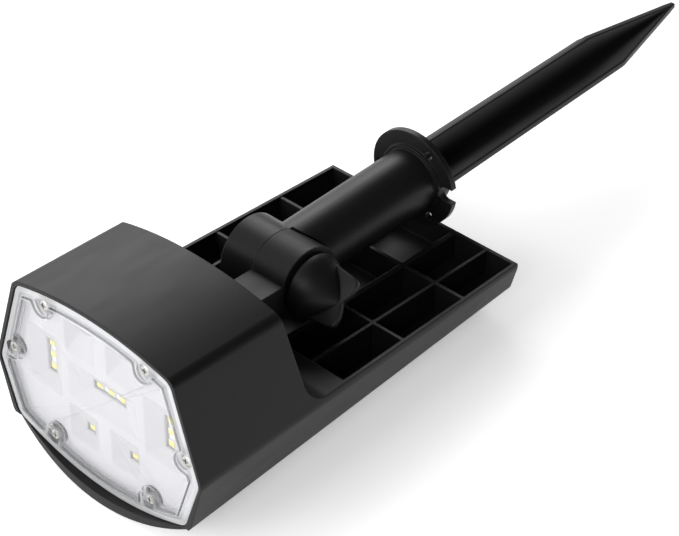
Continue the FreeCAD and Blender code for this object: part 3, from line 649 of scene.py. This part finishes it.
@dataclass(frozen=True)
class LensCover:
    """Clear cover: a flange, a raised pane scalloped round six screw cups, and a skirt behind."""

    outline: LensOutline = LensOutline()
    screws: Tuple[Tuple[float, float], ...] = ((27.0, 74.4), (46.7, 44.8), (26.2, 14.0))
    pane_inset: float = 4.2
    scallop: float = 4.4
    cup: float = 3.1
    cup_floor: float = 2.2
    screw_hole: float = 1.45
    boss: float = 4.1
    boss_end: float = 6.95
    skirt_end: float = 6.0
    pane_front: float = -1.2
    pane_back: float = 0.8
    bar_steps: int = 48
    frame: HeadFrame = HeadFrame()

    def screw_spots(self) -> List[Tuple[float, float]]:
        """Places the screws.

        Returns:
            Centres of the six screws.
        """
        return [(g * x, z) for x, z in self.screws for g in (1, -1)]

    def _pane_edge(self, points: np.ndarray, inward: np.ndarray) -> np.ndarray:
        """How far the pane's edge lies inside the outline: the plain inset, or a screw circle's far side.

        Args:
            points: the outline.
            inward: its inward normals.

        Returns:
            The inset at each point.
        """
        tangent = np.stack([inward[:, 1], -inward[:, 0]], axis=-1)
        edge = np.full(len(points), self.pane_inset)
        for spot in self.screw_spots():
            away = np.array(spot) - points
            depth, along = (away * inward).sum(axis=1), (away * tangent).sum(axis=1)
            near = (np.abs(along) < self.scallop) & (depth > 0.0) & (depth < 2.0 * self.scallop)
            reach = depth + np.sqrt(np.maximum(self.scallop ** 2 - along ** 2, 0.0))
            edge = np.where(near, np.maximum(edge, reach), edge)
        for _ in range(2):
            edge = (np.roll(edge, 1) + 2.0 * edge + np.roll(edge, -1)) / 4.0
        return edge

    def _skin(self) -> Tuple[Skin, np.ndarray]:
        """The cover without its cups: one profile of inset and depth swept round the outline.

        Each entry of the profile holds the inset, the depth and the painted edge light (whitish painted
        reflection and grey painted refraction shade). It runs from the pane's front over its edge, the flange
        and the skirt, and back behind them to the pane's rear.

        Returns:
            The closed surface, and the painted edge light of each point.
        """
        points, inward = self.outline.path()
        edge = self._pane_edge(points, inward)
        fixed = np.zeros_like(edge)
        # third number of each entry: painted edge light, 0 clear, about 0.6 whitish painted reflection, 1
        # grey painted refraction shade
        profile = [(edge + 0.9, self.pane_front, 0.0), (edge + 0.45, -1.17, 0.3), (edge + 0.15, -1.05, 0.8),
                   (edge + 0.02, -0.8, 1.0), (edge, -0.25, 1.0), (edge - 0.1, -0.07, 0.8),
                   (edge - 0.45, 0.0, 0.35), (fixed + 2.6, 0.0, 0.35), (fixed + 1.9, 0.0, 0.7),
                   (fixed + 1.3, 0.0, 0.5), (fixed + 0.5, 0.0, 0.55), (fixed + 0.15, 0.12, 0.7),
                   (fixed, 0.45, 0.6), (fixed, self.skirt_end, 0.6), (fixed + 1.6, self.skirt_end, 0.6),
                   (fixed + 1.6, 2.2, 0.6), (fixed + 1.8, 2.0, 0.3), (edge + 0.95, 2.0, 0.1),
                   (edge + 1.2, 1.75, 0.8), (edge + 1.25, 0.95, 0.9), (edge + 1.45, self.pane_back, 0.1),
                   (edge + 2.2, self.pane_back, 0.0)]
        rows = []
        for inset, depth, _ in profile:
            flat = points + inward * inset[:, None]
            rows.append(np.stack([flat[:, 0], np.full(len(flat), depth), flat[:, 1]], axis=-1))
        middle = self.outline.centre_z
        skin = closed_tube(np.stack(rows), np.array([0.0, self.pane_front, middle]),
                           np.array([0.0, self.pane_back, middle]))
        painted_light = np.concatenate([np.repeat([g for _, _, g in profile], len(points)), [0.0, 0.0]])
        return skin, painted_light

    def _drum(self, name: str, radius: float, start: float, end: float, painted_light: float) -> bpy.types.Object:
        """Six round bars along Y at the screws: circles at two depths, closed at both ends.

        Args:
            name: the bars' name.
            radius: their radius.
            start: depth of their front ends.
            end: depth of their rear ends.
            painted_light: painted edge light (painted reflection and refraction shade) of the faces that they
                leave.

        Returns:
            The bars as one object.
        """
        turn = np.linspace(0.0, FULL_TURN, self.bar_steps + 1)[:-1]
        circle = np.stack([np.cos(turn), np.zeros(self.bar_steps), np.sin(turn)], axis=-1) * radius
        parts, quads, tris, size = [], [], [], 0
        for x, z in self.screw_spots():
            centre = np.array([x, 0.0, z])
            rows = np.stack([circle + centre + (0.0, y, 0.0) for y in (start, end)])
            points, four, three = closed_tube(rows, centre + (0.0, start, 0.0),
                                              centre + (0.0, end, 0.0))
            parts.append(points)
            quads.append(four + size)
            tris.append(three + size)
            size += len(points)
        mesh = build_mesh(name, self.frame.to_rest(np.concatenate(parts)), np.concatenate(quads),
                          np.concatenate(tris))
        mark(mesh, np.full(size, painted_light))
        obj = bpy.data.objects.new(name, mesh)
        bpy.context.scene.collection.objects.link(obj)
        return obj

    def build(self, material: bpy.types.Material) -> bpy.types.Object:
        """Builds the cover and cuts its cups and holes.

        Args:
            material: the clear finish, which reads the painted edge light attribute.

        Returns:
            The finished cover.
        """
        (points, quads, tris), painted_light = self._skin()
        mesh = build_mesh("lens_skin", self.frame.to_rest(points), quads, tris)
        mark(mesh, painted_light)
        skin = bpy.data.objects.new("lens_skin", mesh)
        bpy.context.scene.collection.objects.link(skin)
        # last number of each bar: painted edge light of the faces that it leaves
        steps = [("UNION", self._drum("lens_boss_bars", self.boss, 1.2, self.boss_end, 0.3)),
                 ("DIFFERENCE", self._drum("lens_cup_bars", self.cup, -4.0, self.cup_floor, 0.72)),
                 ("DIFFERENCE", self._drum("lens_hole_bars", self.screw_hole, -4.0, 9.0, 0.3))]
        for operation, bars in steps:
            work = skin.modifiers.new(operation, "BOOLEAN")
            work.operation, work.object, work.solver = operation, bars, "EXACT"
        done = bpy.data.meshes.new_from_object(skin.evaluated_get(bpy.context.evaluated_depsgraph_get()))
        for obj in (skin, *(bars for _, bars in steps)):
            bpy.data.objects.remove(obj)
        done.name = "clear_lens_cover"
        done.set_sharp_from_angle(angle=math.radians(SHARP_EDGE))
        done.materials.clear()
        return add_piece("clear_lens_cover", done, material)


@dataclass(frozen=True)
class GroundStake:
    """Cross-finned spike: four softly edged fins that taper to the point, a collar and a hollow plug."""

    start: float = 79.5
    collar: Tuple[float, float] = (13.8, 5.4)
    plug: Tuple[float, float] = (10.9, 30.0)
    groove: Tuple[float, float, float] = (8.0, 1.0, 0.8)
    bore: Tuple[float, float] = (8.9, 3.0)
    fin_half: Tuple[float, float] = (13.7, 12.9)
    thick: float = 3.0
    taper: Tuple[float, float] = (198.0, 188.0)
    tip: Tuple[float, float] = (249.7, 1.0)
    soft: float = 0.55
    frame: PoleFrame = PoleFrame()

    def _fin_half_at(self, along: np.ndarray, taper: float) -> np.ndarray:
        """Half width of a fin pair: straight to the taper's start, then straight to the tip.

        Args:
            along: distances from the hinge.
            taper: where the point begins.

        Returns:
            The half width at each distance.
        """
        root = self.start + self.collar[1] - FIN_BITE
        return np.interp(along, [root, taper, self.tip[0]], [*self.fin_half, self.tip[1]])

    def _fins(self) -> Skin:
        """A cross section whose arms end in rounded corners, swept along the stake.

        Returns:
            The closed surface.
        """
        root = self.start + self.collar[1] - FIN_BITE
        along = np.unique(np.concatenate([np.linspace(root, self.taper[1], 20),
                                          np.linspace(*self.taper[::-1], 5),
                                          np.linspace(self.taper[0], self.tip[0], 14)]))
        half, turn = self.thick / 2.0, np.radians(np.linspace(0.0, 90.0, 6))
        rounded = np.stack([half - self.soft * (1.0 - np.sin(turn)),
                            -self.soft * (1.0 - np.cos(turn))], axis=-1)
        wide, tall = self._fin_half_at(along, self.taper[0]), self._fin_half_at(along, self.taper[1])
        pinch = np.minimum(1.0, np.minimum(wide, tall) / half)
        rows = []
        for x_reach, z_reach, squeeze, y in zip(wide, tall, pinch, along):
            loop = []
            for quarter in range(4):
                reach = (x_reach, z_reach)[quarter % 2]
                side = rounded * squeeze
                arm = np.concatenate([[[-half * squeeze, half * squeeze]],
                                      np.stack([-side[::-1, 0], side[::-1, 1] + reach], axis=-1),
                                      np.stack([side[:, 0], side[:, 1] + reach], axis=-1)])
                spin = math.radians(90.0 * quarter)
                c, s = math.cos(spin), math.sin(spin)
                loop.append(np.stack([arm[:, 1] * c - arm[:, 0] * s, arm[:, 1] * s + arm[:, 0] * c], axis=-1))
            flat = np.concatenate(loop)
            rows.append(np.stack([flat[:, 0], np.full(len(flat), y), flat[:, 1]], axis=-1))
        return closed_tube(np.stack(rows), np.array([0.0, along[0], 0.0]),
                           np.array([0.0, along[-1], 0.0]))

    def _round(self) -> Skin:
        """Collar and hollow plug as one turned profile of radius against distance.

        Returns:
            The closed surface.
        """
        radius, length = self.collar
        plug, reach = self.plug
        back, half, deep = self.groove
        hole, floor = self.bore
        s, end, ring = self.start, self.start - reach, self.start - back
        profile = np.array([(hole, s - floor), (hole, end), (plug - 0.4, end), (plug, end + 0.4),
                            (plug, ring - half), (plug - deep, ring - half), (plug - deep, ring + half),
                            (plug, ring + half), (plug, s), (radius - 0.4, s), (radius, s + 0.4),
                            (radius, s + length - 0.8), (radius - 0.8, s + length)])
        turn = np.linspace(0.0, FULL_TURN, ROUND_STEPS + 1)[:-1]
        circle = np.stack([np.cos(turn), np.sin(turn)], axis=-1)
        rows = np.stack([np.stack([circle[:, 0] * r, np.full(ROUND_STEPS, y), circle[:, 1] * r], axis=-1)
                         for r, y in profile])
        return closed_tube(rows, np.array([0.0, s - floor, 0.0]), np.array([0.0, s + length, 0.0]))

    def build(self, material: bpy.types.Material) -> List[bpy.types.Object]:
        """Builds the fins and the collar with its plug.

        Args:
            material: the stake's plastic.

        Returns:
            The two pieces.
        """
        skins = {"stake_fins": self._fins(), "stake_plug": self._round()}
        return [add_piece(name, build_mesh(name, self.frame.to_rest(points), quads, tris, CRISP_EDGE),
                          material)
                for name, (points, quads, tris) in skins.items()]


def rounded_loop(points: np.ndarray, rounds: int = 2) -> np.ndarray:
    """Softens a closed polygon: each round replaces every side by its points at a quarter and three quarters.

    Args:
        points: the polygon's corners.
        rounds: how often the corners are cut.

    Returns:
        The softened polygon.
    """
    for _ in range(rounds):
        ahead = np.roll(points, -1, axis=0)
        points = np.stack([0.75 * points + 0.25 * ahead, 0.25 * points + 0.75 * ahead], axis=1).reshape(-1, 2)
    return points


@dataclass(frozen=True)
class WingKnob:
    """Clamping knob: an ogive boss with two flat wings that reach past its point."""

    face: float = 17.5
    base: float = 13.6
    land: float = 1.2
    length: float = 16.6
    power: float = 1.6
    wing: Tuple[Tuple[float, float], ...] = ((0.4, 12.4), (9.0, 11.3), (17.7, 10.3), (18.8, 8.6),
                                             (18.8, 5.4), (17.6, 2.2))
    notch: float = 16.4
    thick: float = 3.0
    soft: float = 0.6
    turn: float = 45.0
    frame: PoleFrame = PoleFrame()

    def _boss(self) -> Skin:
        """Turned ogive: past a short straight land the radius falls as one less a power of the distance.

        Returns:
            The closed surface.
        """
        along = np.linspace(0.0, 1.0, 26)[:-1] ** 0.8
        radius = self.base * (1.0 - along ** self.power)
        along = self.land + along * (self.length - self.land)
        along = np.concatenate([[0.0, 0.4], along])
        radius = np.concatenate([[self.base - 0.4, self.base], radius])
        turn = np.linspace(0.0, FULL_TURN, ROUND_STEPS + 1)[:-1]
        rows = np.stack([np.stack([np.full(ROUND_STEPS, self.face + x), np.cos(turn) * r, np.sin(turn) * r],
                                  axis=-1) for x, r in zip(along, radius)])
        return closed_tube(rows, np.array([self.face, 0.0, 0.0]),
                           np.array([self.face + self.length, 0.0, 0.0]))

    def _wings(self) -> Skin:
        """Flat plate through the axis: its outline is drawn in towards both faces to round the rim.

        Returns:
            The closed surface.
        """
        upper = np.array(self.wing)
        outline = rounded_loop(np.concatenate([upper, [[self.notch, 0.0]], upper[::-1] * (1.0, -1.0)]))
        step = np.roll(outline, -1, axis=0) - np.roll(outline, 1, axis=0)
        inward = np.stack([step[:, 1], -step[:, 0]], axis=-1) / np.hypot(*step.T)[:, None]
        tilt = np.radians(np.linspace(0.0, 90.0, 5))
        inset = np.concatenate([self.soft * (1.0 - np.sin(tilt)), self.soft * (1.0 - np.sin(tilt[::-1]))])
        height = self.thick / 2.0 - self.soft * (1.0 - np.cos(tilt))
        height = np.concatenate([height, -height[::-1]])
        rows = []
        for d, z in zip(inset, height):
            flat = outline + inward * d
            rows.append(np.stack([self.face + flat[:, 0], flat[:, 1], np.full(len(flat), z)], axis=-1))
        middle = np.array([self.face + 7.0, 0.0, 0.0])
        half = np.array([0.0, 0.0, self.thick / 2.0])
        return closed_tube(np.stack(rows), middle + half, middle - half)

    def build(self, material: bpy.types.Material) -> List[bpy.types.Object]:
        """Builds the boss and the wings at the knob's resting turn.

        Args:
            material: the knob's plastic.

        Returns:
            The two pieces.
        """
        made = []
        for name, (points, quads, tris) in {"knob_boss": self._boss(), "knob_wings": self._wings()}.items():
            mesh = build_mesh(name, self.frame.to_rest(points, self.turn), quads, tris, CRISP_EDGE)
            made.append(add_piece(name, mesh, material))
        return made


def mark(mesh: bpy.types.Mesh, values: np.ndarray) -> None:
    """Stores the painted edge light of each point of a clear piece, whitish painted reflection and grey
    painted refraction shade by how edge-on it stands, as the attribute that its finish reads.

    Args:
        mesh: the piece's mesh.
        values: one number from 0 to 1 for each point.
    """
    layer = mesh.attributes.new(PAINTED_EDGE_LIGHT, "FLOAT", "POINT")
    layer.data.foreach_set("value", values.astype(np.float32))


@dataclass
class Studio:
    """Pale floor, soft boxes, a surround with one dark side, and the camera."""

    camera_at: Tuple[float, float, float] = (0.4925, -0.5287, 0.59226)
    camera_turn: Tuple[float, float, float] = (50.854, 2.242, 43.482)
    lens_mm: float = 119.09
    floor_half: float = 3.0
    dark_side: Tuple[float, float, float] = (0.75, 0.55, 0.4)
    surround: Tuple[float, float] = (1.0, 0.1)
    floor_glow: float = 0.4
    floor_drop: float = 0.0002
    lights: List[Tuple[str, Tuple[float, float, float], float, float]] = field(default_factory=lambda: [
        ("back_box", (-1.5, 1.1, 1.25), 1.3, 20.0),
        ("front_left_box", (-0.5, -2.0, 0.9), 1.2, 24.0),
        ("front_box", (1.0, -1.9, 1.3), 1.0, 16.0),
    ])

    def build(self) -> None:
        """Builds floor, lights, background and camera."""
        self._floor()
        for name, place, size, power in self.lights:
            self._light(name, place, size, power)
        self._background()
        self._camera()
        bpy.context.scene.view_settings.view_transform = "Standard"

    def _floor(self) -> None:
        """A flat square just under the object."""
        h = self.floor_half
        mesh = bpy.data.meshes.new("floor")
        mesh.from_pydata([(-h, -h, 0), (h, -h, 0), (h, h, 0), (-h, h, 0)], [], [(0, 1, 2, 3)])
        obj = bpy.data.objects.new("floor", mesh)
        obj.location.z = -self.floor_drop
        bpy.context.scene.collection.objects.link(obj)
        sheet = NodeSheet("pale_floor")
        sheet.tint(sheet.noise(3.0, 2.0), (0.93, 0.93, 0.93), (0.95, 0.95, 0.95))
        sheet.fix(Socket.ROUGHNESS, 0.9)
        sheet.fix(Socket.SPECULAR, 0.1)
        sheet.fix(Socket.GLOW_COLOUR, (1.0, 1.0, 1.0, 1.0))
        sheet.fix(Socket.GLOW, self.floor_glow)
        mesh.materials.append(sheet.material)

    def _light(self, name: str, place: Tuple[float, float, float], size: float, power: float) -> None:
        """A square soft box aimed at the object.

        Args:
            name: the light's name.
            place: where it stands, in metres.
            size: its side.
            power: its power in watts.
        """
        data = bpy.data.lights.new(name, "AREA")
        data.size = size
        data.energy = power
        obj = bpy.data.objects.new(name, data)
        obj.location = place
        obj.rotation_euler = (-Vector(place)).to_track_quat("-Z", "Y").to_euler()
        bpy.context.scene.collection.objects.link(obj)

    def _background(self) -> None:
        """A white surround that falls off to dark beyond the object's right, as a flagged studio does."""
        world = bpy.data.worlds.new("surround")
        world.use_nodes = True
        tree = world.node_tree
        coords = tree.nodes.new("ShaderNodeTexCoord")
        along = tree.nodes.new("ShaderNodeVectorMath")
        along.operation = "DOT_PRODUCT"
        along.inputs[1].default_value = Vector(self.dark_side).normalized()
        fall = tree.nodes.new("ShaderNodeMapRange")
        for name, number in (("From Min", -0.35), ("From Max", 0.55), ("To Min", self.surround[0]),
                             ("To Max", self.surround[1])):
            fall.inputs[name].default_value = number
        tree.links.new(coords.outputs["Generated"], along.inputs[0])
        tree.links.new(along.outputs["Value"], fall.inputs["Value"])
        back = tree.nodes["Background"]
        back.inputs["Color"].default_value = (1.0, 1.0, 1.0, 1.0)
        tree.links.new(fall.outputs["Result"], back.inputs["Strength"])
        bpy.context.scene.world = world

    def _camera(self) -> None:
        """A long lens with no depth of field."""
        data = bpy.data.cameras.new("camera")
        data.lens = self.lens_mm
        data.sensor_width = 36.0
        data.clip_start = 0.05
        obj = bpy.data.objects.new("camera", data)
        obj.location = self.camera_at
        obj.rotation_euler = tuple(math.radians(a) for a in self.camera_turn)
        bpy.context.scene.collection.objects.link(obj)
        bpy.context.scene.camera = obj


def main() -> None:
    """Builds the whole picture in order."""
    logging.basicConfig(level=logging.INFO, format="%(message)s")
    made = dress(Finishes())
    lens = LensCover().build(made["clear_lens"])
    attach(lens, "head")
    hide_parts("lens_cover")
    for part in WingKnob().build(made["knob_plastic"]):
        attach(part, "knob")
        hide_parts("wing_knob")
    for part in GroundStake().build(made["pole_plastic"]):
        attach(part, "stake")
        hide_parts("ground_stake")
    Studio().build()


if __name__ == "__main__":
    main()
